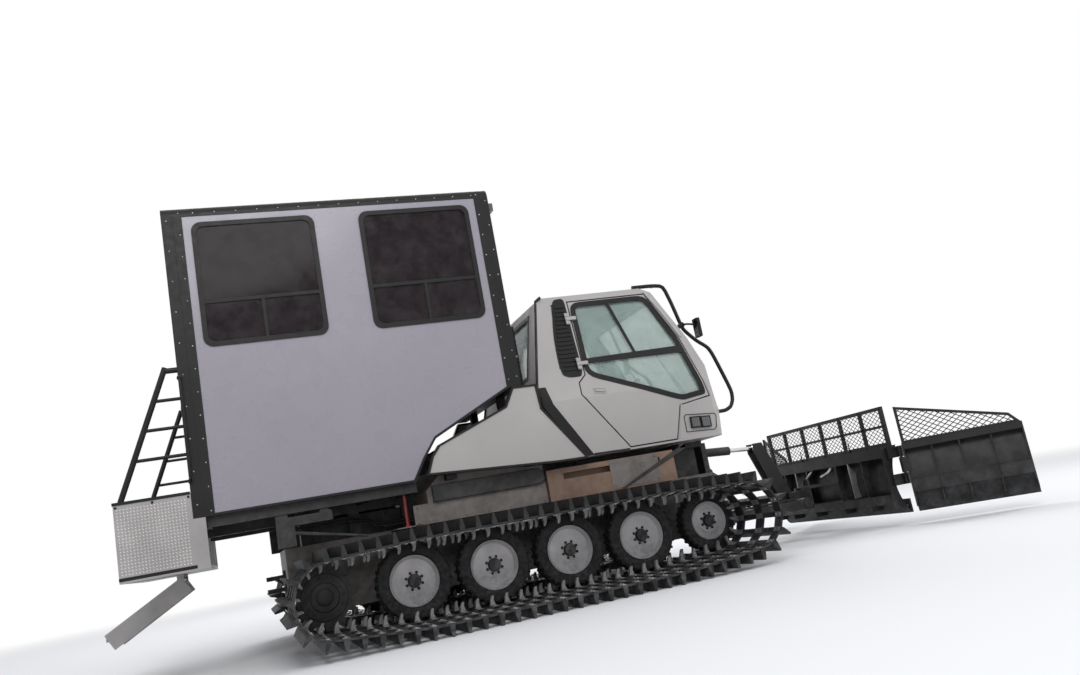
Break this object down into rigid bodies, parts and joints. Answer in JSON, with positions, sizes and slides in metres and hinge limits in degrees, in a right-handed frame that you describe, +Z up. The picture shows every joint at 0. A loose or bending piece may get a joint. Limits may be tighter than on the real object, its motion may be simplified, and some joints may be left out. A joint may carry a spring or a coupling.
{
  "type": "snowcat groomer with passenger cabin",
  "caption": "Tracked snow groomer with a tall passenger cabin behind the driver's cab, a rear landing with folding steps and a winged front blade.",
  "frame": {"origin": "on the ground under the middle of the machine's length and width, at the tracks' lowest point", "axes": "+X forward to the blade, +Y left, +Z up"},
  "size_m": [9.085, 4.4698, 4.19],
  "materials": {
    "chassis_black": "satin black paint, snow-dulled",
    "hull_grey": "worn grey-brown paint",
    "track_rubber": "dark belts and dull bars",
    "tyre": "matt",
    "rim_grey": "light grey paint, scuffed",
    "cast_dark": "dull",
    "tank_tan": "tan-brown paint",
    "silver_paint": "warm silver-grey gloss",
    "seal_rubber": "black rubber",
    "cabin_panel": "light grey gloss panels",
    "cabin_black": "black, semi-gloss",
    "cab_glass": "green-tinted",
    "cabin_glass": "dark tinted",
    "lamp_glass": "clear lenses",
    "seat_fabric": "dark cloth",
    "floor_mat": "ribbed mat",
    "treadplate": "diamond plate",
    "rod_chrome": "polished",
    "blade_black": "black paint, worn edges"
  },
  "bodies": {
    "chassis": {"hull": "hull_grey", "wheel_axles": "chassis_black", "final_drives": "cast_dark", "track_right": "track_rubber", "track_left": "track_rubber", "tyres": "tyre", "rims": "rim_grey", "sprockets": "cast_dark", "engine_block": "cast_dark", "engine_hood": "hull_grey", "deck_frame": "chassis_black", "side_tanks": "tank_tan", "side_pods": "silver_paint", "pod_trim": "seal_rubber", "exhaust_stack": "chassis_black", "cab_shell": "silver_paint", "cab_floor": "chassis_black", "cab_glass": "cab_glass", "cab_seats": "seat_fabric", "lamps": "lamp_glass", "guard_rails": "cabin_black", "cabin_frame": "cabin_black", "cabin_walls": "cabin_panel", "cabin_roof": "cabin_panel", "cabin_floor": "floor_mat", "window_frames": "cabin_black", "cabin_glass": "cabin_glass", "cabin_benches": "seat_fabric", "landing": "treadplate", "landing_rack": "cabin_black", "hitch": "cast_dark", "front_mounts": "chassis_black"},
    "cab_door_right": {"cab_door_right": "silver_paint", "door_glass_right": "cab_glass"},
    "cab_door_left": {"cab_door_left": "silver_paint", "door_glass_left": "cab_glass"},
    "cabin_door": {"cabin_door": "cabin_panel"},
    "steps": {"steps": "treadplate"},
    "push_frame": {"push_frame": "blade_black"},
    "lift_barrels": {"lift_barrels": "chassis_black"},
    "lift_rods": {"lift_rods": "rod_chrome"},
    "pitch_barrel": {"pitch_barrel": "chassis_black"},
    "pitch_rod": {"pitch_rod": "rod_chrome"},
    "blade_head": {"blade_head": "blade_black"},
    "blade": {"blade": "blade_black", "blade_guard": "blade_black"},
    "wing_right": {"wing_right": "blade_black"},
    "wing_left": {"wing_left": "blade_black"}
  },
  "joints": [
    {"name": "cab_door_right_hinge", "type": "hinge", "parent": "chassis", "child": "cab_door_right", "pos_m": [0.13734, -1.11547, 2.26], "axis": [0, -0.1764, -0.9843], "range_deg": [0, 80]},
    {"name": "cab_door_left_hinge", "type": "hinge", "parent": "chassis", "child": "cab_door_left", "pos_m": [0.13734, 1.11547, 2.26], "axis": [0, -0.1764, 0.9843], "range_deg": [0, 80]},
    {"name": "cabin_door_hinge", "type": "hinge", "parent": "chassis", "child": "cabin_door", "pos_m": [-3.67767, 0.38, 2.4], "axis": [0, 0, -1], "range_deg": [0, 100]},
    {"name": "steps_fold", "type": "hinge", "parent": "chassis", "child": "steps", "pos_m": [-3.86266, 0, 0.85], "axis": [0, 1, 0], "range_deg": [0, 29]},
    {"name": "blade_lift", "type": "hinge", "parent": "chassis", "child": "push_frame", "pos_m": [1.70734, 0, 0.41], "axis": [0, -1, 0], "range_deg": [-3.5, 22]},
    {"name": "lift_barrel_swing", "type": "hinge", "parent": "chassis", "child": "lift_barrels", "pos_m": [1.77734, 0, 0.95], "axis": [0, -1, 0], "range_deg": [-3, 16]},
    {"name": "lift_rod_slide", "type": "slide", "parent": "lift_barrels", "child": "lift_rods", "axis": [0.8173, 0, -0.5762], "range_m": [-0.195, 0.036]},
    {"name": "pitch_barrel_swing", "type": "hinge", "parent": "chassis", "child": "pitch_barrel", "pos_m": [1.77734, 0, 1.2], "axis": [0, -1, 0], "range_deg": [-5, 27.1]},
    {"name": "pitch_rod_slide", "type": "slide", "parent": "pitch_barrel", "child": "pitch_rod", "axis": [0.9979, 0, -0.0649], "range_m": [-0.298, 0.055]},
    {"name": "blade_pitch", "type": "hinge", "parent": "push_frame", "child": "blade_head", "pos_m": [2.83733, 0, 0.41], "axis": [0, -1, 0], "range_deg": [-8, 8]},
    {"name": "blade_angle", "type": "hinge", "parent": "blade_head", "child": "blade", "pos_m": [3.13734, 0, 0.46], "axis": [0, 0, 1], "range_deg": [-20, 20]},
    {"name": "wing_right_fold", "type": "hinge", "parent": "blade", "child": "wing_right", "pos_m": [3.64733, -1.245, 0.65], "axis": [0, 0, 1], "range_deg": [-60, 25]},
    {"name": "wing_left_fold", "type": "hinge", "parent": "blade", "child": "wing_left", "pos_m": [3.64733, 1.245, 0.65], "axis": [0, 0, -1], "range_deg": [-60, 25]}
  ],
  "couplings": [
    {"joint": "lift_barrel_swing", "follows": "blade_lift", "ratio": 0.6993},
    {"joint": "lift_rod_slide", "follows": "blade_lift", "m_per_rad": -0.5035},
    {"joint": "pitch_barrel_swing", "follows": "blade_lift", "ratio": 1.226},
    {"joint": "pitch_rod_slide", "follows": "blade_lift", "m_per_rad": -0.7729}
  ]
}
